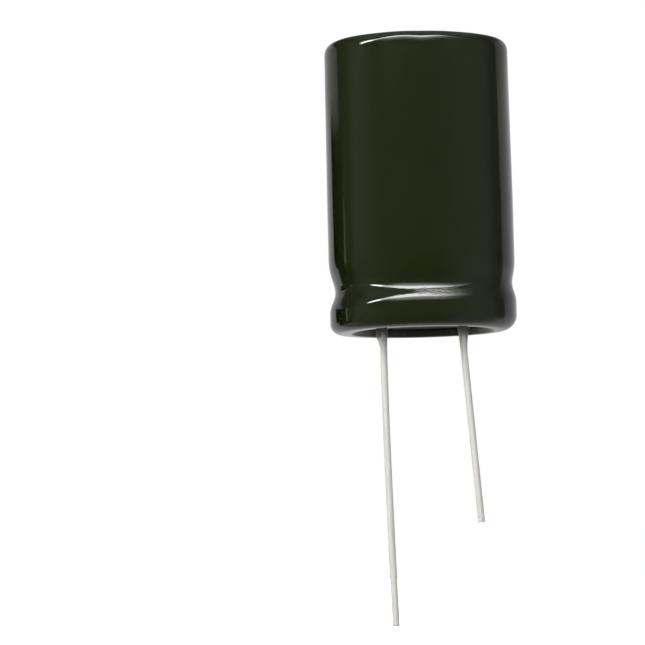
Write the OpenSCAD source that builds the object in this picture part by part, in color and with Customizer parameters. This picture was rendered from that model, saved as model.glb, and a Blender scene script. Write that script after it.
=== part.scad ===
// Radial-lead aluminium electrolytic capacitor, in millimetres.
// The origin is on the can's axis, in the plane where the sleeve's foot sits on a circuit board.
// +Z runs up to the closed end of the can, and the two leads hang down from the open end.

/* [Can] */
// Outside diameter of the drawn aluminium can
can_d = 22; // [18:0.5:30]
// Length of the can
can_len = 34.9; // [28:0.1:50]
// Thickness of the can's side
can_wall = 0.4; // [0.3:0.05:0.6]
// Thickness of the can's closed end
can_end_t = 0.5; // [0.4:0.05:0.8]
// Outside radius of the corner at the closed end
can_head_r = 0.9; // [0.8:0.1:2]

/* [Crimp bead] */
// Height of the bead's middle above the can's open end
bead_up = 5.3; // [4.8:0.1:7]
// Depth of the bead
bead_depth = 1.1; // [0.6:0.1:1.5]
// Radius of the bead's hollow
bead_dip_r = 2.3; // [1.8:0.1:3]
// Radius of the two rounded shoulders that lead into the bead
bead_brow_r = 2.6; // [2:0.1:3]
// How much the foot below the bead stands out past the can's side
foot_flare = 0.05; // [0:0.05:0.2]

/* [Rolled edge] */
// Outside radius of the rolled corner at the open end
curl_r = 1.4; // [1:0.1:1.6]
// How far the open end is rolled in, from the can's side to where its edge turns up
curl_reach = 2; // [1.7:0.1:2.4]
// Outside radius to which the edge turns up into the rubber
curl_tip_r = 0.7; // [0.5:0.05:0.9]

/* [Safety vent] */
// Length of each of the two crossed score lines
vent_len = 13; // [8:0.5:15]
// Width of a score line at the surface
vent_w = 0.6; // [0.3:0.05:0.8]

/* [Sleeve] */
// Thickness of the shrunk sleeve
sleeve_t = 0.2; // [0.1:0.05:0.3]
// Depth of the soft waist where the sleeve bridges the bead
waist_depth = 0.6; // [0.3:0.05:0.7]
// Radius of the sleeve's two shoulders at the waist
waist_brow_r = 5; // [3:0.25:6]
// How far the sleeve laps over the closed end, from the can's side to its lip
sleeve_lap = 2.2; // [2.2:0.1:4]
// How far round the can's rolled edge the sleeve is drawn, in degrees
sleeve_tuck = 75; // [30:5:90]

/* [Rubber seal] */
// Thickness of the seal
seal_t = 6.6; // [5.5:0.1:8]

/* [Leads] */
// Distance between the two leads at the seal
lead_pitch = 10; // [7.5:0.5:11]
// Diameter of the tinned lead wire
wire_d = 0.8; // [0.6:0.1:1]
// Length of the long lead, the anode's, below the board plane
anode_len = 35.35; // [25:0.05:40]
// Length of the short lead, the cathode's, below the board plane
cathode_len = 23.05; // [15:0.05:24]
// How far each wire is welded off its rod's centre, towards the can's axis
weld_offset = 0.2; // [0:0.05:0.3]
// Length of the weld fillet between rod and wire
weld_len = 2.5; // [1.5:0.1:2.6]
// Depth below the board plane at which the long lead is bent
anode_knee_down = 9; // [2:0.5:20]
// Angle by which the long lead leans below its bend, towards the other lead
anode_lean = 1.34; // [0.5:0.02:3]
// Depth below the board plane at which the short lead is bent
cathode_knee_down = 2.1; // [2:0.1:10]
// Angle by which the short lead leans below its bend, away from the other lead
cathode_lean = 4.25; // [0.5:0.05:8]

/* [Terminal tabs] */
// Diameter of the aluminium rod that passes through the seal
rod_d = 1.5; // [1.2:0.1:2]
// How far the rod stands out of the seal
rod_out = 0.3; // [0.1:0.05:0.6]
// Height from the seal's inner face over which the rod is pressed flat
neck_h = 1.3; // [0.8:0.1:2]
// Width of the flat tab that lies in the winding
tab_w = 2.6; // [2:0.1:3]
// Thickness of the flat tab
tab_t = 0.25; // [0.15:0.05:0.3]
// How far the flat tab stops short of its foil's upper edge
tab_short = 5; // [2:0.5:12]

/* [Winding] */
// Diameter of the hole that the winding pin leaves
core_d = 3.2; // [2.5:0.1:4]
// Thickness of the anode foil
anode_foil_t = 0.12; // [0.1:0.01:0.14]
// Thickness of the cathode foil
cathode_foil_t = 0.06; // [0.04:0.01:0.1]
// Thickness of one separator paper
paper_t = 0.1; // [0.08:0.01:0.12]
// Half turns of bare paper at the core, before the foils start
paper_start = 2; // [1:1:4]
// Half turns of bare paper at the outside, after the foils end
paper_end = 2; // [1:1:4]
// How far the paper stands out past the foil at each end
paper_margin = 1.1; // [0.5:0.1:1.5]
// Gap between the seal's inner face and the paper
winding_gap = 1.6; // [1.4:0.1:2.5]
// Gap between the paper and the can's closed end
end_gap = 0.8; // [0.4:0.1:2]
// Gap between the winding and the can's side
winding_room = 0.3; // [0.2:0.05:0.6]
// Thickness of the tape that holds the winding closed
tape_t = 0.08; // [0.05:0.01:0.12]
// How far the tape stays from each edge of the paper
tape_margin = 3.6; // [2:0.1:6]

/* [Fits] */
// Gap left between two pieces that touch
fit_gap = 0.02; // [0.01:0.005:0.04]
// Gap left between two layers of the winding
layer_gap = 0.01; // [0.005:0.005:0.02]

/* [Hidden] */
$fn = 96;

sleeve_green = [0.13, 0.17, 0.09];
can_grey = [0.78, 0.78, 0.8];
rubber_black = [0.06, 0.06, 0.06];
tin_grey = [0.72, 0.7, 0.67];
anode_foil_grey = [0.62, 0.63, 0.64];
cathode_foil_grey = [0.74, 0.74, 0.76];
paper_brown = [0.72, 0.6, 0.42];
tape_brown = [0.6, 0.42, 0.2];

// Heights along the axis, from the board plane up
can_r = can_d / 2;
can_z = sleeve_t + fit_gap;
can_top = can_z + can_len;
bead_z = can_z + bead_up;
curl_tip_z = can_z + curl_tip_r;
seal_z = curl_tip_z + fit_gap;
seal_top = seal_z + seal_t;
paper_z = seal_top + winding_gap;
paper_w = can_top - can_end_t - end_gap - paper_z;
foil_z = paper_z + paper_margin;
foil_w = paper_w - 2 * paper_margin;
tab_top = foil_z + foil_w - tab_short;
neck_top = seal_top + neck_h;
rod_end_z = seal_z - rod_out;
weld_z = rod_end_z - fit_gap;
wire_x = lead_pitch / 2 - weld_offset;

// Radius at which the rolled edge turns up into the rubber
curl_turn = can_r + foot_flare - curl_reach;

// The sleeve leaves the can's side where the bead starts, so its hollow follows from the can's
bead_half = sqrt(2 * bead_depth * (bead_brow_r + bead_dip_r) - bead_depth * bead_depth);
waist_dip_r = (bead_half * bead_half + waist_depth * waist_depth) / (2 * waist_depth) - waist_brow_r;

// The winding is a pack of four layers: paper, anode foil, paper, cathode foil
PAPER_IN = 0;
ANODE = 1;
PAPER_OUT = 2;
CATHODE = 3;
layer_t = [paper_t, anode_foil_t, paper_t, cathode_foil_t];
pack_t = 2 * paper_t + anode_foil_t + cathode_foil_t + 4 * layer_gap;
core_r = core_d / 2;
tab_room = tab_t + fit_gap;
winding_r = can_r - can_wall - winding_room - tape_t - fit_gap;
half_turns = floor(2 * (winding_r - core_r - pack_t - tab_room) / pack_t);

// Crossings of the X axis at which the tabs lie: odd ones are on the anode's side, even ones on the cathode's
tab_turn = floor((lead_pitch / 2 - core_r) / pack_t - 1);
anode_cross = 2 * tab_turn + 1;
cathode_cross = 2 * tab_turn + 2;

function layer_in(j) = j == 0 ? 0 : layer_in(j - 1) + layer_t[j - 1] + layer_gap;
function past_tab(k, j) =
    k % 2 == 1 ? (k > anode_cross || (k == anode_cross && j > ANODE)) : k > cathode_cross;
// Distance from the axis at which layer j's inner face crosses the X axis for the k-th time
function cross_r(k, j) =
    core_r + pack_t * k / 2 + layer_in(j) + (past_tab(k, j) ? tab_room : 0);
winding_out_r = max(cross_r(half_turns, PAPER_OUT), cross_r(half_turns - 1, PAPER_OUT)) + paper_t;
anode_tab_r = cross_r(anode_cross, ANODE) + anode_foil_t + layer_gap;
cathode_tab_r = cross_r(cathode_cross, CATHODE) + cathode_foil_t + layer_gap;

// Half of a can's outline: a straight side with a rounded head and foot, and a waist made of arcs that
// run into each other. The outline grows outwards by `grow`, or inwards where that is negative.
module waisted_outline(depth, dip_r, brow_r, grow) {
    foot_side = can_r + foot_flare;
    arms = brow_r + dip_r;
    head_rise = sqrt(2 * depth * arms - depth * depth);
    foot_depth = depth + foot_flare;
    foot_drop = sqrt(2 * foot_depth * arms - foot_depth * foot_depth);
    head_brow = [can_r - brow_r, bead_z + head_rise];
    foot_brow = [foot_side - brow_r, bead_z - foot_drop];
    dip = [can_r - depth + dip_r, bead_z];
    // from the waist up
    translate([0, head_brow.y])
        square([can_r + grow, can_top - can_head_r - head_brow.y]);
    translate([0, head_brow.y])
        square([can_r - can_head_r, can_top + grow - head_brow.y]);
    translate([can_r - can_head_r, can_top - can_head_r])
        circle(can_head_r + grow);
    // the waist itself
    intersection() {
        union() {
            difference() {
                polygon([[0, foot_brow.y], foot_brow, dip, head_brow, [0, head_brow.y]]);
                translate(dip)
                    circle(dip_r - grow);
            }
            translate(head_brow)
                circle(brow_r + grow);
            translate(foot_brow)
                circle(brow_r + grow);
        }
        translate([0, can_z + curl_r])
            square([can_d, can_len]);
    }
    // from the waist down
    translate([0, can_z + curl_r])
        square([foot_side + grow, foot_brow.y - can_z - curl_r]);
    translate([0, can_z - grow])
        square([foot_side - curl_r, foot_brow.y - can_z + grow]);
    translate([foot_side - curl_r, can_z + curl_r])
        circle(curl_r + grow);
}

module can_outline(grow) {
    waisted_outline(bead_depth, bead_dip_r, bead_brow_r, grow);
}

module sleeve_outline(grow) {
    waisted_outline(waist_depth, waist_dip_r, waist_brow_r, grow);
}

// What the rolled edge leaves open: all that is nearer the axis than the turn, less the turn's own round
module mouth(grow) {
    difference() {
        translate([0, -can_d])
            square([curl_turn, can_d + can_len / 2]);
        translate([curl_turn, curl_tip_z])
            circle(curl_tip_r + grow);
    }
}

// What is cut off a wall that turns by `angle` from straight down towards the axis
module past_turn(angle) {
    reach = 4 * curl_tip_r;
    translate([curl_turn, curl_tip_z])
        polygon([[0, 0], reach * [-sin(angle), -cos(angle)], [-reach, reach], [0, reach]]);
}

// The shrunk tube: over the closed end's corner, down the side, across the bead and round the rolled edge
module sleeve() {
    inner = fit_gap;
    outer = fit_gap + sleeve_t;
    lip_r = sleeve_t / 2;
    lip_x = can_r - sleeve_lap + lip_r;
    color(sleeve_green)
        rotate_extrude() {
            difference() {
                sleeve_outline(outer);
                mouth(outer);
                difference() {
                    sleeve_outline(inner);
                    mouth(inner);
                }
                past_turn(sleeve_tuck);
                translate([0, can_z + can_len / 2])
                    square([lip_x, can_len]);
            }
            translate([lip_x, can_top + inner + lip_r])
                circle(lip_r);
        }
}

// Two score lines crossed on the closed end, where the can opens if its pressure rises
module vent_score() {
    for (turn = [45, 135])
        rotate([0, 0, turn])
            translate([0, 0, can_top])
                rotate([45, 0, 0])
                    cube([vent_len, vent_w / sqrt(2), vent_w / sqrt(2)], center = true);
}

// A drawn cup with its closed end up, beaded near its open end and rolled over the rubber seal
module can() {
    color(can_grey)
        difference() {
            rotate_extrude()
                difference() {
                    can_outline(0);
                    mouth(0);
                    difference() {
                        can_outline(-can_wall);
                        mouth(-can_wall);
                        translate([0, can_top - can_end_t])
                            square([can_d, can_end_t]);
                    }
                    past_turn(90);
                }
            vent_score();
        }
}

// The rubber bung, squeezed by the bead and held in by the rolled edge
module end_seal() {
    color(rubber_black)
        difference() {
            rotate_extrude()
                difference() {
                    can_outline(-can_wall - fit_gap);
                    translate([0, seal_top])
                        square([can_d, can_len]);
                    square([curl_turn, seal_z]);
                }
            for (side = [-1, 1])
                translate([side * lead_pitch / 2, 0, 0])
                    cylinder(h = can_len, d = rod_d + 2 * fit_gap);
        }
}

// An aluminium terminal: a round rod through the seal, pressed flat into a tab that lies in the winding
module terminal_tab(side, tab_r) {
    rod_x = lead_pitch / 2;
    arc_a = tab_w / tab_r * 180 / PI;
    rotate([0, 0, side < 0 ? 180 : 0]) {
        translate([rod_x, 0, rod_end_z])
            cylinder(h = seal_top - rod_end_z, d = rod_d);
        // the pressed neck narrows one way and widens the other
        intersection() {
            translate([0, tab_w, seal_top])
                rotate([90, 0, 0])
                    linear_extrude(2 * tab_w)
                        polygon([[rod_x - rod_d / 2, 0], [rod_x + rod_d / 2, 0],
                                 [tab_r + tab_t, neck_h], [tab_r, neck_h]]);
            translate([0, 0, seal_top])
                rotate([90, 0, 90])
                    linear_extrude(2 * lead_pitch)
                        polygon([[-rod_d / 2, 0], [rod_d / 2, 0], [tab_w / 2, neck_h], [-tab_w / 2, neck_h]]);
        }
        translate([0, 0, neck_top])
            rotate([0, 0, -arc_a / 2])
                rotate_extrude(angle = arc_a)
                    translate([tab_r, 0])
                        square([tab_t, tab_top - neck_top]);
    }
}

module anode_tab() {
    color(can_grey)
        terminal_tab(-1, anode_tab_r);
}

module cathode_tab() {
    color(can_grey)
        terminal_tab(1, cathode_tab_r);
}

// A tinned wire, welded off the centre of its rod's end. It runs straight down to a knee, where it is
// mitred, and leans towards +X from there to its cut end.
module tinned_lead(side, knee_down, lean, length) {
    run = (length - knee_down) / cos(lean);
    nose_d = wire_d / 2 - weld_offset;
    // the weld's fillet: a cone whose nose is buried in the wire
    translate([side * lead_pitch / 2, 0, weld_z - weld_len])
        cylinder(h = weld_len, d1 = nose_d, d2 = rod_d);
    translate([side * wire_x, 0, -knee_down]) {
        difference() {
            translate([0, 0, -wire_d])
                cylinder(h = wire_d + knee_down + weld_z, d = wire_d);
            rotate([0, -lean / 2, 0])
                translate([-wire_d, -wire_d, -2 * wire_d])
                    cube(2 * wire_d);
        }
        difference() {
            rotate([0, -lean, 0])
                translate([0, 0, -run])
                    cylinder(h = run + wire_d, d = wire_d);
            rotate([0, -lean / 2, 0])
                translate([-wire_d, -wire_d, 0])
                    cube(2 * wire_d);
        }
    }
}

module anode_lead() {
    color(tin_grey)
        tinned_lead(-1, anode_knee_down, anode_lean, anode_len);
}

module cathode_lead() {
    color(tin_grey)
        tinned_lead(1, cathode_knee_down, cathode_lean, cathode_len);
}

// One layer of the winding: half circles about two centres, each half a pack wider than the one before
module wound_strip(j, first, last, width) {
    linear_extrude(width)
        for (i = [first : last]) {
            side = i % 2 == 0 ? 1 : -1;
            mean_r = (cross_r(i, j) + cross_r(i + 1, j)) / 2;
            centre_x = side * (cross_r(i, j) - cross_r(i + 1, j)) / 2;
            translate([centre_x, 0])
                intersection() {
                    difference() {
                        circle(mean_r + layer_t[j]);
                        circle(mean_r);
                    }
                    translate([-can_d, side > 0 ? 0 : -2 * can_d])
                        square([2 * can_d, 2 * can_d]);
                }
        }
}

module anode_foil() {
    color(anode_foil_grey)
        translate([0, 0, foil_z])
            wound_strip(ANODE, paper_start, half_turns - 1 - paper_end, foil_w);
}

module cathode_foil() {
    color(cathode_foil_grey)
        translate([0, 0, foil_z])
            wound_strip(CATHODE, paper_start, half_turns - 1 - paper_end, foil_w);
}

module inner_paper() {
    color(paper_brown)
        translate([0, 0, paper_z])
            wound_strip(PAPER_IN, 0, half_turns - 1, paper_w);
}

module outer_paper() {
    color(paper_brown)
        translate([0, 0, paper_z])
            wound_strip(PAPER_OUT, 0, half_turns - 1, paper_w);
}

// The tape round the finished winding
module closing_tape() {
    color(tape_brown)
        translate([0, 0, paper_z + tape_margin])
            linear_extrude(paper_w - 2 * tape_margin)
                difference() {
                    circle(winding_out_r + fit_gap + tape_t);
                    circle(winding_out_r + fit_gap);
                }
}

sleeve();
can();
end_seal();
anode_tab();
cathode_tab();
anode_lead();
cathode_lead();
anode_foil();
cathode_foil();
inner_paper();
outer_paper();
closing_tape();
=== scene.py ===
"""The looks of an aluminium electrolytic capacitor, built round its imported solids."""

import math

import bpy
import numpy as np
from mathutils import Matrix, Vector


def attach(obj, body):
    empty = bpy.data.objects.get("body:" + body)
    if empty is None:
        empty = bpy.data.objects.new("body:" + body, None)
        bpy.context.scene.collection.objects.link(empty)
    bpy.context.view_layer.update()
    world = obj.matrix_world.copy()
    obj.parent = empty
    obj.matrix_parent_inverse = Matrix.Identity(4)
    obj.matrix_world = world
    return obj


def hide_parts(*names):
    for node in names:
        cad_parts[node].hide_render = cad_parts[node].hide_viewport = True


MM = 0.001  # the sizes below are in millimetres, and Blender works in metres

# The sleeve's outside, from its upper lip to its lower. A size that changes round it has a mean, a change
# to the right (the short lead's side) and to the front (the camera's side), and dimples. A dimple has its
# direction in degrees, its size, its spread in degrees, and in one case the power that flattens its top
LIP_R = 9.0
LIP_WAVES = ((3, 0.09, 0.6), (7, 0.05, 0.0), (13, 0.03, 1.1))  # waves round the lip, size, phase
TOP_Z = {"mean": 35.34, "dimples": ((42.0, -0.14, 46.0),)}
HEAD_ROUND = {
    "mean": 1.0,
    "dimples": ((-85.0, 0.22, 28.0), (-30.0, 0.06, 8.0), (-12.0, -0.1, 9.0), (2.0, 0.08, 5.0),
                (16.0, -0.08, 8.0), (85.0, 0.2, 34.0), (160.0, -0.06, 14.0)),
}
HEAD_JOIN_DEG = 24.0  # below this tilt the shoulder runs out slowly into the side
RUNOUT_HEIGHT = 1.027  # in radii of the shoulder
RUNOUT_POWER = 4
SIDE_R = 11.255
TAPER_Z = 16.0  # above this height the side narrows a little
TAPER = 0.0075
SIDE_WAVES = ((3, 0.24, 0.0, 0.004), (5, -0.37, 1.0, 0.003))  # waves round it, twist per mm, phase, size
WAVE_FADE = 4.0  # over this height the waves fade out towards both ends of the side
BROW_Z = {"mean": 9.2, "right": -0.25}  # the side draws in below this height
BROW_POWER = 1.5
WAIST_DEPTH = {"mean": 0.53, "right": -0.18, "front": 0.05, "dimples": ((4.0, 0.05, 14.0),)}
WAIST_Z = {"mean": 5.42, "right": 0.33, "front": 0.06, "dimples": ((-38.0, 0.22, 22.0), (15.0, -0.2, 16.0))}
BULGE = {"mean": 0.03, "right": 0.05}  # how far the fullest ring below the waist stands out past the side
BULGE_Z = {"mean": 2.97, "right": 0.45, "front": 0.1, "dimples": ((-38.0, 0.15, 22.0), (15.0, -0.2, 16.0))}
FOOT_ROUND = {"mean": 1.58, "right": 0.3, "front": 0.04}
FOOT_Z = {"dimples": ((-5.0, 0.18, 72.0, 4),)}
TURN_R = 8.85  # the film turns up into the opening here
TURN_ROUND = 0.25
TUCK_DEG = 58.0  # and runs up at this tilt to its lower lip
TUCK_R = 8.17

# The film's thickness at its upper lip, its shoulder, its side and its foot
LIP_T = 0.08
CORNER_T = 0.045
CORNER_POWER = 8  # the higher, the sooner the film thins on its way over the shoulder
SIDE_T = 0.115
FOOT_T = 0.04

# The leads: where each wire runs
ROOT_Z = 0.62
WIRE_R = 0.41
CUT_BEVEL = 0.05  # height of the bevel round the cut end
CUT_INSET = 0.035
ANODE_X = -4.853
ANODE_TIP_Z = -35.31
ANODE_CURVE_Z = -3.9  # the long lead bends slowly from here down
ANODE_SWAY = 0.61
ANODE_SWAY_POWER = 1.476
CATHODE_X = 4.79
CATHODE_TIP_Z = -23.05
CATHODE_KNEE_Z = -1.72
CATHODE_LEAN = math.tan(math.radians(4.25))
CATHODE_KNEE_SPREAD = 0.5
# The welds at their roots. Each side has the height where the weld starts, the rise to its full size, that
# size, and the power that it grows with. The far side is the one away from the other lead
WELD_END_Z = -3.2  # both wires are plain below this height
ANODE_WELD = {"far": (-1.85, 1.5, 0.5, 1.6), "near": (-1.9, 2.5, 0.15, 1.5), "blend": 1.5}
CATHODE_WELD = {"far": (-2.9, 3.5, 0.36, 2.0), "near": (-2.9, 3.5, 0.3, 2.0), "blend": 1.0}

# Mesh steps: along each stretch of the sleeve's profile and of a lead, and round them
STEPS = {"lip": 8, "shoulder": 16, "runout": 16, "side": 34, "brow": 30, "bulge": 40, "foot": 26, "turn": 5,
         "tuck": 8, "weld": 39, "wire": 89}
SLEEVE_COLUMNS = 320
WIRE_COLUMNS = 40
LIP_ROUND_DEG = (45.0, 90.0, 135.0)  # both lips are rounded through these angles
INSIDE_STRIDE = 3  # the film's inside has every third ring of its outside
SHARP_DEG = 50.0

# The spans below: where on its scale a change starts and ends, and what it goes from and to. It goes from 0
# to 1 where the last two are missing

# Materials. Pairs are a darker and a lighter colour, or a lower and a higher roughness
FILM_IOR = 1.56
FILM_COLOURS = ((0.0068, 0.0091, 0.0022), (0.0081, 0.0107, 0.0029))
FILM_SMEAR = (0.35, 0.75, 0.045, 0.085)
# The drawn-in lower lip is dull: spans of radius and height
DULL_R = (8.1, 8.5, 1.0, 0.0)
DULL_Z = (2.0, 4.0, 1.0, 0.0)
DULL_ROUGHNESS = 0.4
FILM_SPECULAR = 0.5
DULL_SPECULAR_LOSS = 0.46
# The film is crinkled between two heights, and more so at the right
CREASE_Z = ((3.3, 4.0), (4.3, 4.9, 1.0, 0.0))
CREASE_X = (-2.0, 2.0, 0.12, 1.0)
METALS = {
    "can_metal": ((0.62, 0.62, 0.64), (0.74, 0.74, 0.755), (0.26, 0.4)),
    "tab_metal": ((0.6, 0.6, 0.61), (0.72, 0.72, 0.73), (0.25, 0.4)),
    "etched_foil": ((0.3, 0.31, 0.32), (0.4, 0.41, 0.42), (0.6, 0.8)),
    "plain_foil": ((0.5, 0.5, 0.52), (0.62, 0.62, 0.64), (0.35, 0.5)),
}
RUBBER_COLOURS = ((0.008, 0.008, 0.008), (0.014, 0.0135, 0.0125))
RUBBER_ROUGHNESS = (0.5, 0.68)
RUBBER_SPECULAR = 0.2
TIN_COLOURS = ((0.3, 0.29, 0.27), (0.42, 0.41, 0.39))
TIN_ROUGHNESS = (0.44, 0.56)
TIN_METALLIC = 0.12
TIN_SPECULAR = 0.3
# The leads' roots are painted darker: partly the weld's darker metal, partly painted shade under the body
ROOT_WELD_AND_SHADE_COLOUR = (0.06, 0.055, 0.045)
ROOT_WELD_AND_SHADE_SPAN = (-1.1, 0.1, 0.0, 0.9)
ROOT_WELD_AND_SHADE_RAGGED = 0.8
PAPER_COLOURS = ((0.42, 0.32, 0.19), (0.6, 0.48, 0.31))
PAPER_ROUGHNESS = 0.85
TAPE_COLOURS = ((0.38, 0.2, 0.05), (0.5, 0.29, 0.09))
TAPE_ROUGHNESS = (0.25, 0.4)
NOISE_SPAN = (0.3, 0.7)  # a noise texture mostly stays between these

# The camera
FRAME_PX = 645  # width and height of the photograph
SENSOR_MM = 36.0
FOCAL_PX = 3400.0
CAMERA_AT = (-12.18, -410.46, -26.17)
CAMERA_RIGHT = (0.99967, 0.00174, -0.02579)
CAMERA_UP = (0.02585, -0.06735, 0.99740)
CLIP_MM = (10.0, 10000.0)

# The softbox: a bright band along a line in x, with a weaker spill below it
LIGHT_LINE = (-406.0, 360.0)  # y and z of the line
LIGHT_ENDS = (-1750.0, 760.0)
LIGHT_W = 112.0
SPILL_W = 260.0
SPILL = 0.25
BAND_SOFT = 6.0
# Spans of x: the parts that its strength is added up from, and those that fade them out to the left
LIGHT_FADE = ((40.0, 420.0, 12.0, 0.0), (300.0, 700.0, 3.0, 0.4))
LIGHT_DIP = (-520.0, -250.0, -6.0, 0.0)
LIGHT_PEAK = (-760.0, -600.0, 15.0, 0.0)
PEAK_LEFT = (-1500.0, -1150.0, 0.3, 1.0)
LIGHT_LEFT = (-1750.0, -1300.0)
SPILL_LEFT = (-650.0, -300.0)

# The studio round the object: spans of two angles in degrees. Turn is 0 in front and positive to the right,
# and rise is positive upwards
FRONT_LIGHT = 0.07
UPPER_RISE = (30.0, 66.0, 0.0, 0.36)
LEFT_FILL = ((-100.0, -88.0), (-84.0, -50.0, 0.17, 0.0))
RIGHT_FILL = ((15.0, 65.0), (86.0, 108.0, 0.17, 0.02))
LINE_TURN = ((-112.6, -111.4), (-110.2, -109.2, 0.9, 0.0))
LINE_RISE = (4.0, 7.0, 1.0, 0.0)
RIGHT_BACK_TURN = ((117.0, 120.0), (118.0, 165.0, 0.36, 0.72))
RIGHT_BACK_RISE = (7.9, 8.5, 1.0, 0.8)
PANEL_SLANT = 1.5  # degrees of turn for each degree of rise
PANEL_EDGE = (-108.5, -105.5, 1.0, 0.0)
PANEL_TURN = (-165.0, -118.0, 0.68, 0.38)
SCREEN_SLANT = 0.65
SCREEN_BACK = (-137.7, -135.7, 1.0, 0.0)
SCREEN_FRONT = (-112.4, -111.6, 1.0, 0.0)
SCREEN_TOP = (7.5, 7.8)
SCREEN_DARK = 0.1
PAST_SCREEN_TURN = (-175.0, -125.0, 0.8, 0.6)
BACK_RISE = (16.0, 28.0, 1.0, 0.12)
# A broad light low in front, which only lights matt surfaces
BROAD_TURN = ((-115.0, -85.0), (20.0, 60.0, 1.0, 0.0))
BROAD_RISE = (18.0, 32.0, 9.5, 0.0)

# The floor
FLOOR_Z = -35.6
FLOOR_R = 700.0
FLOOR_SIDES = 64
FLOOR_GREY = (0.75, 0.75, 0.75)
FLOOR_LIFT = 0.97  # light that makes it white to the camera
# What the gloss sees of it: a bright patch under and behind the object, with spans of the distance from its
# middle and of y, and then spans of turn, for light at both sides of the back and dim light in front
PATCH_Y = 25.0
PATCH_R = (78.2, 101.2, 1.0, 0.03)
PATCH_DEPTH = (-42.0, 34.0, 0.05, 0.36)
FLOOR_LEFT = (-132.0, -128.0, 0.65, 0.0)
FLOOR_RIGHT = (117.0, 121.0, 0.0, 0.5)
FLOOR_FRONT_LEFT = ((-105.0, -90.0), (-75.0, -25.0, 0.14, 0.03))
FLOOR_FRONT_RIGHT = ((15.0, 65.0), (86.0, 108.0, 0.2, 0.08))


# Small helpers for node trees

def new_tree(material_or_world):
    """Empties the node tree and returns it."""
    material_or_world.use_nodes = True
    tree = material_or_world.node_tree
    tree.nodes.clear()
    return tree


def feed(tree, value, socket):
    """Links a socket, or sets a plain value."""
    if isinstance(value, bpy.types.NodeSocket):
        tree.links.new(value, socket)
    elif socket.type == "RGBA":
        socket.default_value = (*value, 1.0)
    else:
        socket.default_value = value


def put(tree, kind, *values, **settings):
    """Adds a node and feeds its first inputs. The settings are its properties, or inputs by name."""
    node = tree.nodes.new(kind)
    for value, socket in zip(values, node.inputs):
        feed(tree, value, socket)
    for name, value in settings.items():
        if hasattr(node, name):
            setattr(node, name, value)
        else:
            feed(tree, value, node.inputs[name.replace("_", " ")])
    return node


def maths(tree, operation, *values):
    """An operation on one or two values, or on more of them one after another."""
    while len(values) > 2:
        values = (maths(tree, operation, *values[:2]), *values[2:])
    return put(tree, "ShaderNodeMath", *values, operation=operation).outputs[0]


def ramp(tree, value, start, end, before=0.0, after=1.0):
    """A smooth change from before to after, as value goes from start to end."""
    node = put(tree, "ShaderNodeMapRange", value, start, end, before, after, interpolation_type="SMOOTHSTEP")
    return node.outputs["Result"]


def ramp_mm(tree, value, start, end, before=0.0, after=1.0):
    """The same, with start and end in millimetres."""
    return ramp(tree, value, start * MM, end * MM, before, after)


def band(tree, value, first, second):
    """A strength that comes in over the first span of value and changes over the second."""
    return maths(tree, "MULTIPLY", ramp(tree, value, *first), ramp(tree, value, *second))


def place(tree):
    """Object coordinates in metres."""
    return put(tree, "ShaderNodeTexCoord").outputs["Object"]


def stretched(tree, *scale):
    """Object coordinates, multiplied along each axis."""
    return put(tree, "ShaderNodeMapping", place(tree), Scale=scale).outputs["Vector"]


def split(tree, vector):
    """The parts of a vector along the axes."""
    return put(tree, "ShaderNodeSeparateXYZ", vector).outputs


def turn_of(tree, x, y):
    """A direction seen from above, in degrees: 0 in front and positive to the right."""
    return maths(tree, "DEGREES", maths(tree, "ARCTAN2", x, maths(tree, "MULTIPLY", y, -1.0)))


def noise(tree, vector, scale, detail=2.0, roughness=0.5):
    """A noise texture's value."""
    node = put(tree, "ShaderNodeTexNoise", Vector=vector, Scale=scale, Detail=detail, Roughness=roughness)
    return node.outputs["Fac"]


def varied(tree, texture, values):
    """A value that follows a noise texture from the lower of two values to the higher."""
    return ramp(tree, texture, *NOISE_SPAN, *values)


def tinted(tree, low, high, factor):
    """A colour between low and high."""
    node = put(tree, "ShaderNodeMix", data_type="RGBA")
    first, second = [socket for socket in node.inputs if socket.type == "RGBA"]
    feed(tree, low, first)
    feed(tree, high, second)
    feed(tree, factor, node.inputs["Factor"])
    return [socket for socket in node.outputs if socket.type == "RGBA"][0]


def bumped(tree, height, depth, **under):
    """A normal for a texture of that depth in millimetres, on another normal where one is given."""
    node = put(tree, "ShaderNodeBump", Height=height, Distance=depth * MM, Strength=1.0, **under)
    return node.outputs["Normal"]


def new_material(name):
    """A material and its empty tree."""
    material = bpy.data.materials.new(name)
    return material, new_tree(material)


def principled(tree, **inputs):
    """Ends a material's tree with a Principled shader."""
    shader = put(tree, "ShaderNodeBsdfPrincipled", **{"Metallic": 0.0, "IOR": 1.5, **inputs})
    put(tree, "ShaderNodeOutputMaterial", shader.outputs[0])


# Materials

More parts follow.
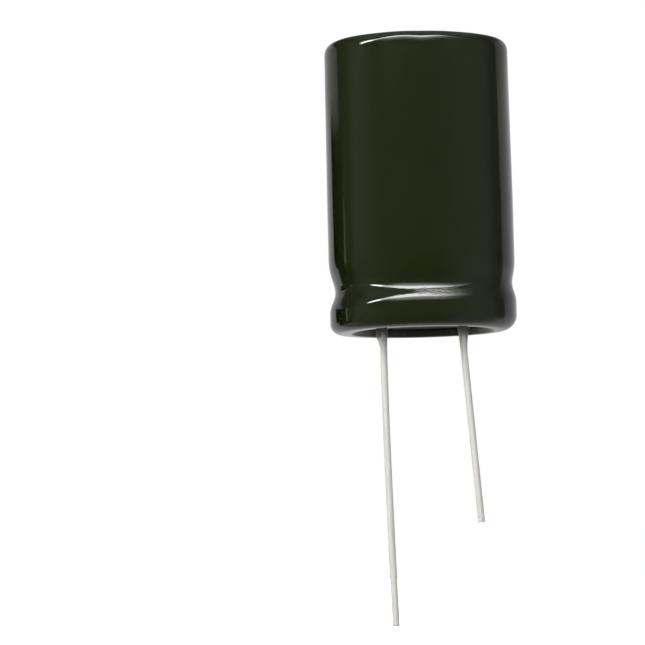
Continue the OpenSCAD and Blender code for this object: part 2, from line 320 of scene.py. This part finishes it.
def sleeve_film():
    """Glossy dark olive shrink film, crinkled where it creases at the waist."""
    material, tree = new_material("sleeve_film")
    axes = split(tree, place(tree))
    level = put(tree, "ShaderNodeVectorMath", place(tree), (1.0, 1.0, 0.0), operation="MULTIPLY").outputs[0]
    radius = put(tree, "ShaderNodeVectorMath", level, operation="LENGTH").outputs["Value"]
    cloudy = noise(tree, place(tree), scale=260.0, detail=3.0)
    smear = noise(tree, stretched(tree, 1.0, 1.0, 0.35), scale=900.0, detail=4.0, roughness=0.6)
    dull = maths(tree, "MULTIPLY", ramp_mm(tree, radius, *DULL_R), ramp_mm(tree, axes["Z"], *DULL_Z))
    rough_lip = maths(tree, "MULTIPLY", dull, DULL_ROUGHNESS)
    rough = maths(tree, "ADD", ramp(tree, smear, *FILM_SMEAR), rough_lip)
    specular = maths(tree, "SUBTRACT", FILM_SPECULAR, maths(tree, "MULTIPLY", dull, DULL_SPECULAR_LOSS))

    ripple = noise(tree, stretched(tree, 1.0, 1.0, 0.4), scale=150.0, detail=1.0, roughness=0.4)
    crinkle = noise(tree, stretched(tree, 1.0, 1.0, 1.8), scale=2600.0, detail=3.0, roughness=0.6)
    crease = [ramp_mm(tree, axes["Z"], *span) for span in CREASE_Z]
    crinkled = maths(tree, "MULTIPLY", *crease, ramp_mm(tree, axes["X"], *CREASE_X), crinkle)
    normal = bumped(tree, crinkled, depth=0.035, Normal=bumped(tree, ripple, depth=0.02))
    principled(tree, Base_Color=tinted(tree, *FILM_COLOURS, cloudy), IOR=FILM_IOR, Roughness=rough,
               Specular_IOR_Level=specular, Normal=normal)
    return material


def drawn_aluminium(name):
    """Bare aluminium with fine random grain."""
    material, tree = new_material(name)
    low, high, roughness = METALS[name]
    cloudy = noise(tree, place(tree), scale=400.0, detail=4.0)
    scratches = noise(tree, stretched(tree, 1.0, 0.06, 1.0), scale=5000.0, detail=3.0, roughness=0.7)
    principled(tree, Base_Color=tinted(tree, low, high, cloudy), Metallic=1.0,
               Roughness=varied(tree, scratches, roughness), Normal=bumped(tree, scratches, depth=0.004))
    return material


def seal_rubber():
    """Matt black moulded rubber."""
    material, tree = new_material("seal_rubber")
    mottled = noise(tree, place(tree), scale=1200.0, detail=4.0, roughness=0.6)
    principled(tree, Base_Color=tinted(tree, *RUBBER_COLOURS, mottled), Specular_IOR_Level=RUBBER_SPECULAR,
               Roughness=varied(tree, mottled, RUBBER_ROUGHNESS), Normal=bumped(tree, mottled, depth=0.02))
    return material


def tinned_wire():
    """Matt tin over steel wire, drawn along its length."""
    material, tree = new_material("tinned_wire")
    drawn = noise(tree, stretched(tree, 1.0, 1.0, 0.03), scale=5200.0, detail=4.0, roughness=0.65)
    patchy = noise(tree, stretched(tree, 1.0, 1.0, 0.2), scale=900.0, detail=3.0)
    tin = tinted(tree, *TIN_COLOURS, drawn)
    # the wire is painted darker towards its root, partly for the weld's darker metal and partly as painted
    # shade under the body, and streaky where it runs out
    ragged = varied(tree, drawn, (-ROOT_WELD_AND_SHADE_RAGGED * MM, ROOT_WELD_AND_SHADE_RAGGED * MM))
    weld = ramp_mm(tree, maths(tree, "ADD", split(tree, place(tree))["Z"], ragged), *ROOT_WELD_AND_SHADE_SPAN)
    principled(tree, Base_Color=tinted(tree, tin, ROOT_WELD_AND_SHADE_COLOUR, weld), Metallic=TIN_METALLIC,
               Specular_IOR_Level=TIN_SPECULAR, Roughness=varied(tree, patchy, TIN_ROUGHNESS),
               Normal=bumped(tree, drawn, depth=0.006))
    return material


def separator_paper():
    """Fibrous paper, soaked and brown."""
    material, tree = new_material("separator_paper")
    fibres = noise(tree, stretched(tree, 1.0, 1.0, 0.3), scale=3000.0, detail=5.0, roughness=0.7)
    principled(tree, Base_Color=tinted(tree, *PAPER_COLOURS, fibres), Roughness=PAPER_ROUGHNESS,
               Normal=bumped(tree, fibres, depth=0.01))
    return material


def closing_film():
    """The amber tape round the winding."""
    material, tree = new_material("closing_film")
    cloudy = noise(tree, place(tree), scale=700.0)
    principled(tree, Base_Color=tinted(tree, *TAPE_COLOURS, cloudy),
               Roughness=varied(tree, cloudy, TAPE_ROUGHNESS))
    return material


def dress(material, *nodes):
    """Gives CAD nodes a better material."""
    for node in nodes:
        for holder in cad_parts[node].material_slots:
            holder.material = material


# Meshes

def new_object(name, points, faces, material):
    """A mesh object from points in millimetres."""
    mesh = bpy.data.meshes.new(name)
    mesh.from_pydata((np.asarray(points) * MM).tolist(), [], faces)
    mesh.materials.append(material)
    item = bpy.data.objects.new(name, mesh)
    bpy.context.scene.collection.objects.link(item)
    return item


def new_piece(name, points, faces, material, node):
    """A smooth piece that stands for a CAD node."""
    piece = new_object(name, points, faces, material)
    mesh = piece.data
    mesh.polygons.foreach_set("use_smooth", [True] * len(mesh.polygons))
    mesh.set_sharp_from_angle(angle=math.radians(SHARP_DEG))
    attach(piece, "root")
    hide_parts(node)


def ring_faces(rings, columns, closed):
    """Quads between rings of points, and round from the last ring to the first where closed."""
    faces = []
    for ring in range(rings if closed else rings - 1):
        here = ring * columns
        there = (ring + 1) % rings * columns
        for column in range(columns):
            beside = (column + 1) % columns
            faces.append((here + column, here + beside, there + beside, there + column))
    return faces


def ease(start, end, count):
    """Values from start to end, without the first."""
    return np.linspace(start, end, count + 1)[1:]


def smooth(part):
    """Rises from 0 to 1 with level ends."""
    return (1 - math.cos(math.pi * part)) / 2


def dimple(turn, at_deg, spread_deg, power=2):
    """A soft bump round one direction, flatter on top with a higher power."""
    away = (math.degrees(turn) - at_deg + 180) % 360 - 180
    return math.exp(-abs(away / spread_deg) ** power)


def uneven(turn, mean=0.0, right=0.0, front=0.0, dimples=()):
    """A size that changes round the sleeve, at one angle."""
    even = mean + right * math.sin(turn) + front * math.cos(turn)
    return even + sum(size * dimple(turn, at_deg, *shape) for at_deg, size, *shape in dimples)


def shoulder(turn):
    """The profile from the upper lip over the shoulder, and the height where the side starts."""
    lip_r = LIP_R + sum(size * math.sin(count * turn + phase) for count, size, phase in LIP_WAVES)
    top_z = uneven(turn, **TOP_Z)
    round_r = uneven(turn, **HEAD_ROUND)
    join = math.radians(HEAD_JOIN_DEG)
    runout_z = RUNOUT_HEIGHT * round_r
    runout = runout_z * math.tan(join) / RUNOUT_POWER
    side_z = top_z - round_r * (1 - math.sin(join)) - runout_z
    side_r = SIDE_R - TAPER * (side_z - TAPER_Z)
    centre_r = side_r - runout - round_r * math.cos(join)
    centre_z = top_z - round_r

    path = [(lip_r, top_z, LIP_T)]
    for radius in ease(lip_r, centre_r, STEPS["lip"]):
        path.append((radius, top_z, LIP_T))
    for angle in ease(90.0, HEAD_JOIN_DEG, STEPS["shoulder"]):
        bend = math.radians(angle)
        wall = CORNER_T + (LIP_T - CORNER_T) * math.sin(bend) ** CORNER_POWER
        path.append((centre_r + round_r * math.cos(bend), centre_z + round_r * math.sin(bend), wall))
    for part in ease(1.0, 0.0, STEPS["runout"]):
        wall = SIDE_T + (CORNER_T - SIDE_T) * part
        path.append((side_r - runout * part ** RUNOUT_POWER, side_z + runout_z * part, wall))
    return path, side_z


def side(turn, start_z, end_z):
    """The profile down the long side, with its slow waves."""
    path = []
    for height in ease(start_z, end_z, STEPS["side"]):
        wander = sum(size * math.sin(count * turn + twist * height + phase)
                     for count, twist, phase, size in SIDE_WAVES)
        fade = min(1.0, (height - end_z) / WAVE_FADE, (start_z - height) / WAVE_FADE)
        taper = TAPER * max(0.0, height - TAPER_Z)
        path.append((SIDE_R - taper + wander * fade, height, SIDE_T))
    return path


def waist(turn, brow_z, bulge_r, bulge_z):
    """The profile into the waist and out again to the fullest ring below it."""
    depth = uneven(turn, **WAIST_DEPTH)
    waist_r = SIDE_R - depth
    waist_z = uneven(turn, **WAIST_Z)
    path = []
    for part in ease(0.0, 1.0, STEPS["brow"]):
        path.append((SIDE_R - depth * smooth(part ** BROW_POWER), brow_z + (waist_z - brow_z) * part, SIDE_T))
    for part in ease(0.0, 1.0, STEPS["bulge"]):
        radius = waist_r + (bulge_r - waist_r) * smooth(part)
        path.append((radius, waist_z + (bulge_z - waist_z) * part, SIDE_T))
    return path


def foot(turn, bulge_r, bulge_z):
    """The profile round the foot, and up into the opening to the lower lip."""
    round_r = uneven(turn, **FOOT_ROUND)
    low_z = uneven(turn, **FOOT_Z)
    path = [(bulge_r, (bulge_z + round_r) / 2, SIDE_T)]
    for angle in ease(0.0, 90.0, STEPS["foot"]):
        bend = math.radians(angle)
        height = low_z + (round_r - low_z) * (1 - math.sin(bend))
        wall = FOOT_T + (SIDE_T - FOOT_T) * math.cos(bend) ** 2
        path.append((bulge_r - round_r * (1 - math.cos(bend)), height, wall))
    path.append((TURN_R, low_z, FOOT_T))
    for angle in ease(0.0, TUCK_DEG, STEPS["turn"]):
        bend = math.radians(angle)
        inner_r = TURN_R - TURN_ROUND * math.sin(bend)
        inner_z = TURN_ROUND * (1 - math.cos(bend))
        path.append((inner_r, max(low_z, inner_z), FOOT_T))
    slope = math.tan(math.radians(TUCK_DEG))
    for radius in ease(inner_r, TUCK_R, STEPS["tuck"]):
        path.append((radius, max(low_z, inner_z + (inner_r - radius) * slope), FOOT_T))
    return path


def sleeve_profile(turn):
    """The sleeve's outside at one angle, from its upper lip to its lower: radius, height and thickness.

    turn is 0 towards the camera and grows towards the short lead.
    """
    path, side_z = shoulder(turn)
    brow_z = uneven(turn, **BROW_Z)
    bulge_r = SIDE_R + uneven(turn, **BULGE)
    bulge_z = uneven(turn, **BULGE_Z)
    path += side(turn, side_z, brow_z)
    path += waist(turn, brow_z, bulge_r, bulge_z)
    path += foot(turn, bulge_r, bulge_z)
    return np.array(path)


def rounded(start, end, outward):
    """Points on a half circle from start to end, as far out as outward reaches."""
    points = []
    for angle in LIP_ROUND_DEG:
        bend = math.radians(angle)
        points.append((start + end) / 2 + (start - end) / 2 * math.cos(bend) + outward * math.sin(bend))
    return points


def closed_wall(profile):
    """The profile, then back along the film's inside, with both lips rounded."""
    path = profile[:, :2]
    thickness = profile[:, 2:]
    along = np.gradient(path, axis=0)
    along /= np.linalg.norm(along, axis=1)[:, None]
    inside = path + np.column_stack((along[:, 1], -along[:, 0])) * thickness
    reach = along * thickness / 2
    lower_lip = rounded(path[-1], inside[-1], reach[-1])
    upper_lip = rounded(inside[0], path[0], -reach[0])
    return np.array([*path, *lower_lip, *inside[:0:-INSIDE_STRIDE], inside[0], *upper_lip])


def sleeve():
    """The shrunk film round the can."""
    columns = []
    for column in range(SLEEVE_COLUMNS):
        turn = 2 * math.pi * column / SLEEVE_COLUMNS
        radii, heights = closed_wall(sleeve_profile(turn)).T
        columns.append(np.column_stack((radii * math.sin(turn), -radii * math.cos(turn), heights)))
    points = np.stack(columns, axis=1)
    faces = ring_faces(len(points), SLEEVE_COLUMNS, closed=True)
    new_piece("shrunk_sleeve", points.reshape(-1, 3), faces, sleeve_film(), "sleeve")


def anode_path(height):
    """Where the long lead's middle lies in x."""
    down = max(0.0, ANODE_CURVE_Z - height)
    return ANODE_X + ANODE_SWAY * (down / (ANODE_CURVE_Z - ANODE_TIP_Z)) ** ANODE_SWAY_POWER


def cathode_path(height):
    """Where the short lead's middle lies in x."""
    down = (CATHODE_KNEE_Z - height) / CATHODE_KNEE_SPREAD
    return CATHODE_X + CATHODE_LEAN * CATHODE_KNEE_SPREAD * math.log1p(math.exp(down))


def weld_side(height, start, rise, size, power):
    """How far one side of a weld stands out past the wire."""
    return size * max(0.0, min(1.0, (height - start) / rise)) ** power


def weld_reach(height, outwards, far, near, blend):
    """How far a weld stands out; outwards is 1 away from the other lead and -1 towards it."""
    least = weld_side(height, *near)
    return least + (weld_side(height, *far) - least) * ((1 + outwards) / 2) ** blend


def lead(name, path, weld, tip_z, away, node, material):
    """A wire swept along its path, with the weld at its root and a cut end.

    away is 1 where the other lead lies towards -X, and -1 where it lies towards +X.
    """
    to_weld_end = ease(ROOT_Z, WELD_END_Z, STEPS["weld"])
    to_cut = ease(WELD_END_Z, tip_z + CUT_BEVEL, STEPS["wire"])
    heights = [ROOT_Z, *to_weld_end, *to_cut, tip_z]
    points = []
    for height in heights:
        centre = path(height)
        radius = WIRE_R - (CUT_INSET if height == tip_z else 0.0)
        for column in range(WIRE_COLUMNS):
            angle = 2 * math.pi * column / WIRE_COLUMNS
            reach = radius + weld_reach(height, math.cos(angle) * away, **weld)
            points.append((centre + reach * math.cos(angle), reach * math.sin(angle), height))
    faces = ring_faces(len(heights), WIRE_COLUMNS, closed=False)
    root = range(WIRE_COLUMNS - 1, -1, -1)
    cut = range(len(points) - WIRE_COLUMNS, len(points))
    faces += [tuple(root), tuple(cut)]
    new_piece(name, points, [face[::-1] for face in faces], material, node)


# The set: lights, floor and camera

def softbox_light(band_z, spill_z):
    """Light that changes along the box, bright above band_z and weak from there down to spill_z."""
    material, tree = new_material("softbox_light")
    axes = split(tree, place(tree))
    near, far = [ramp_mm(tree, axes["X"], *span) for span in LIGHT_FADE]
    dip = ramp_mm(tree, axes["X"], *LIGHT_DIP)
    peak = maths(tree, "MULTIPLY", *[ramp_mm(tree, axes["X"], *span) for span in (LIGHT_PEAK, PEAK_LEFT)])
    along = maths(tree, "ADD", near, far, dip, peak)
    along = maths(tree, "MULTIPLY", along, ramp_mm(tree, axes["X"], *LIGHT_LEFT))
    bright = ramp_mm(tree, axes["Z"], band_z - BAND_SOFT, band_z + BAND_SOFT)
    spill = ramp_mm(tree, axes["Z"], spill_z, band_z, 0.0, SPILL)
    spill = maths(tree, "MULTIPLY", spill, ramp_mm(tree, axes["X"], *SPILL_LEFT))
    strength = maths(tree, "MULTIPLY", along, maths(tree, "MAXIMUM", bright, spill))
    light = put(tree, "ShaderNodeEmission", Strength=strength).outputs[0]
    # where it gives no light it is clear, so that it hides nothing behind it
    clear = put(tree, "ShaderNodeBsdfTransparent").outputs[0]
    both = put(tree, "ShaderNodeAddShader", light, clear).outputs[0]
    put(tree, "ShaderNodeOutputMaterial", both)
    return material


def softbox():
    """A long straight box of light above the camera, brightest left of its middle and dim at both ends."""
    line_y, line_z = LIGHT_LINE
    reach = math.hypot(line_y, line_z)
    across, up = line_z / reach, -line_y / reach
    left, right = LIGHT_ENDS
    low = -LIGHT_W / 2 - SPILL_W
    high = LIGHT_W / 2
    corners = [(x, line_y + offset * across, line_z + offset * up)
               for x, offset in ((left, low), (right, low), (right, high), (left, high))]
    band_z = line_z - LIGHT_W / 2 * up
    box = new_object("softbox", corners, [(0, 1, 2, 3)], softbox_light(band_z, band_z - SPILL_W * up))
    box.visible_camera = False
    box.visible_diffuse = False
    box.visible_shadow = False


def studio_back(tree, turn, rise):
    """The light behind the object, and how much a dark screen at the left takes away."""
    right = maths(tree, "MULTIPLY", band(tree, turn, *RIGHT_BACK_TURN), ramp(tree, rise, *RIGHT_BACK_RISE))
    # at the left a panel shows above the screen, and light shows past its back edge; these two edges slant
    leaning = maths(tree, "ADD", turn, maths(tree, "MULTIPLY", rise, PANEL_SLANT))
    panel = maths(tree, "MULTIPLY", ramp(tree, leaning, *PANEL_EDGE), ramp(tree, turn, *PANEL_TURN))
    slanted = maths(tree, "ADD", turn, maths(tree, "MULTIPLY", rise, SCREEN_SLANT))
    past_screen = ramp(tree, slanted, *SCREEN_BACK)
    beside = maths(tree, "MULTIPLY", past_screen, ramp(tree, turn, *PAST_SCREEN_TURN))
    above = ramp(tree, rise, *SCREEN_TOP)
    left = maths(tree, "ADD", maths(tree, "MULTIPLY", panel, above),
                 maths(tree, "MULTIPLY", beside, maths(tree, "SUBTRACT", 1.0, above)))
    light = maths(tree, "MULTIPLY", maths(tree, "ADD", right, left), ramp(tree, rise, *BACK_RISE))
    screen = maths(tree, "SUBTRACT", ramp(tree, turn, *SCREEN_FRONT), past_screen)
    screen = maths(tree, "MULTIPLY", screen, ramp(tree, rise, *SCREEN_TOP, SCREEN_DARK, 0.0))
    return light, screen


def studio_strength(tree, turn, rise, diffuse):
    """The studio's light from one direction; diffuse is 1 for rays that left a matt surface."""
    line = maths(tree, "MULTIPLY", band(tree, turn, *LINE_TURN), ramp(tree, rise, *LINE_RISE))
    back, screen = studio_back(tree, turn, rise)
    fills = [band(tree, turn, *spans) for spans in (LEFT_FILL, RIGHT_FILL)]
    total = maths(tree, "ADD", ramp(tree, rise, *UPPER_RISE), FRONT_LIGHT, *fills, line, back)
    total = maths(tree, "MAXIMUM", maths(tree, "SUBTRACT", total, screen), 0.0)
    broad = maths(tree, "MULTIPLY", band(tree, turn, *BROAD_TURN), ramp(tree, rise, *BROAD_RISE))
    return maths(tree, "ADD", total, maths(tree, "MULTIPLY", broad, diffuse))


def surroundings():
    """White to the camera. To all else a dim studio, with light behind and a dark screen at the left."""
    world = bpy.data.worlds.new("studio")
    bpy.context.scene.world = world
    tree = new_tree(world)
    x, y, z = split(tree, put(tree, "ShaderNodeTexCoord").outputs["Generated"])
    rise = maths(tree, "DEGREES", maths(tree, "ARCSINE", z))
    rays = put(tree, "ShaderNodeLightPath").outputs
    strength = studio_strength(tree, turn_of(tree, x, y), rise, rays["Is Diffuse Ray"])
    studio = put(tree, "ShaderNodeBackground", Strength=strength).outputs[0]
    white = put(tree, "ShaderNodeBackground", Color=(1.0, 1.0, 1.0), Strength=1.0).outputs[0]
    seen = put(tree, "ShaderNodeMixShader", rays["Is Camera Ray"], studio, white).outputs[0]
    put(tree, "ShaderNodeOutputWorld", seen)


def floor_gloss(tree):
    """What the gloss sees of the floor."""
    x, y = split(tree, place(tree))[:2]
    back = maths(tree, "SUBTRACT", y, PATCH_Y * MM)
    squares = [maths(tree, "MULTIPLY", distance, distance) for distance in (x, back)]
    apart = maths(tree, "SQRT", maths(tree, "ADD", *squares))
    patch = maths(tree, "MULTIPLY", ramp_mm(tree, apart, *PATCH_R), ramp_mm(tree, y, *PATCH_DEPTH))
    turn = turn_of(tree, x, y)
    sides = [ramp(tree, turn, *span) for span in (FLOOR_LEFT, FLOOR_RIGHT)]
    front = maths(tree, "ADD", band(tree, turn, *FLOOR_FRONT_LEFT), band(tree, turn, *FLOOR_FRONT_RIGHT))
    strength = maths(tree, "MAXIMUM", patch, *sides, front)
    return put(tree, "ShaderNodeEmission", Strength=strength).outputs[0]


def floor_paint():
    """Matt and pale, white to the camera, patterned to the gloss, and clear from below."""
    material, tree = new_material("pale_floor")
    rays = put(tree, "ShaderNodeLightPath").outputs
    matt = put(tree, "ShaderNodeBsdfDiffuse", Color=FLOOR_GREY).outputs[0]
    lift = put(tree, "ShaderNodeEmission", Strength=FLOOR_LIFT).outputs[0]
    lit = put(tree, "ShaderNodeAddShader", matt, lift).outputs[0]
    seen = put(tree, "ShaderNodeMixShader", rays["Is Camera Ray"], matt, lit).outputs[0]
    shown = put(tree, "ShaderNodeMixShader", rays["Is Glossy Ray"], seen, floor_gloss(tree)).outputs[0]
    clear = put(tree, "ShaderNodeBsdfTransparent").outputs[0]
    below = put(tree, "ShaderNodeNewGeometry").outputs["Backfacing"]
    put(tree, "ShaderNodeOutputMaterial", put(tree, "ShaderNodeMixShader", below, shown, clear).outputs[0])
    return material


def floor():
    """A pale floor under the long lead's tip. From below, the camera looks through it."""
    corners = []
    for corner in range(FLOOR_SIDES):
        angle = 2 * math.pi * corner / FLOOR_SIDES
        corners.append((FLOOR_R * math.cos(angle), FLOOR_R * math.sin(angle), FLOOR_Z))
    plane = new_object("floor", corners, [tuple(range(FLOOR_SIDES))], floor_paint())


def camera():
    """The photograph's camera: a long lens, looking slightly up and leaning slightly."""
    data = bpy.data.cameras.new("photo_camera")
    data.sensor_width = SENSOR_MM
    data.lens = FOCAL_PX * SENSOR_MM / FRAME_PX
    data.clip_start, data.clip_end = [distance * MM for distance in CLIP_MM]
    right, up = Vector(CAMERA_RIGHT), Vector(CAMERA_UP)
    axes = Matrix((right, up, right.cross(up))).transposed().to_4x4()
    item = bpy.data.objects.new("photo_camera", data)
    item.matrix_world = Matrix.Translation(Vector(CAMERA_AT) * MM) @ axes
    bpy.context.scene.collection.objects.link(item)
    bpy.context.scene.camera = item


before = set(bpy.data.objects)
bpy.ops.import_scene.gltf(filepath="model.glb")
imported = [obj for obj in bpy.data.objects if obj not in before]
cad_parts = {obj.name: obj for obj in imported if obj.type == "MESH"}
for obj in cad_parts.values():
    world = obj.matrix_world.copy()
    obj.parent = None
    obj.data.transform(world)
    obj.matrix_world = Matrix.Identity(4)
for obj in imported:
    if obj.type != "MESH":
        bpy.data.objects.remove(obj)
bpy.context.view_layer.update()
camera()
bpy.context.scene.view_settings.view_transform = "Standard"

sleeve()
wire = tinned_wire()
lead("long_lead", anode_path, ANODE_WELD, ANODE_TIP_Z, -1, "anode_lead", wire)
lead("short_lead", cathode_path, CATHODE_WELD, CATHODE_TIP_Z, 1, "cathode_lead", wire)
dress(drawn_aluminium("can_metal"), "can")
dress(seal_rubber(), "end_seal")
dress(drawn_aluminium("tab_metal"), "anode_tab", "cathode_tab")
dress(drawn_aluminium("etched_foil"), "anode_foil")
dress(drawn_aluminium("plain_foil"), "cathode_foil")
dress(separator_paper(), "inner_paper", "outer_paper")
dress(closing_film(), "closing_tape")

softbox()
surroundings()
floor()
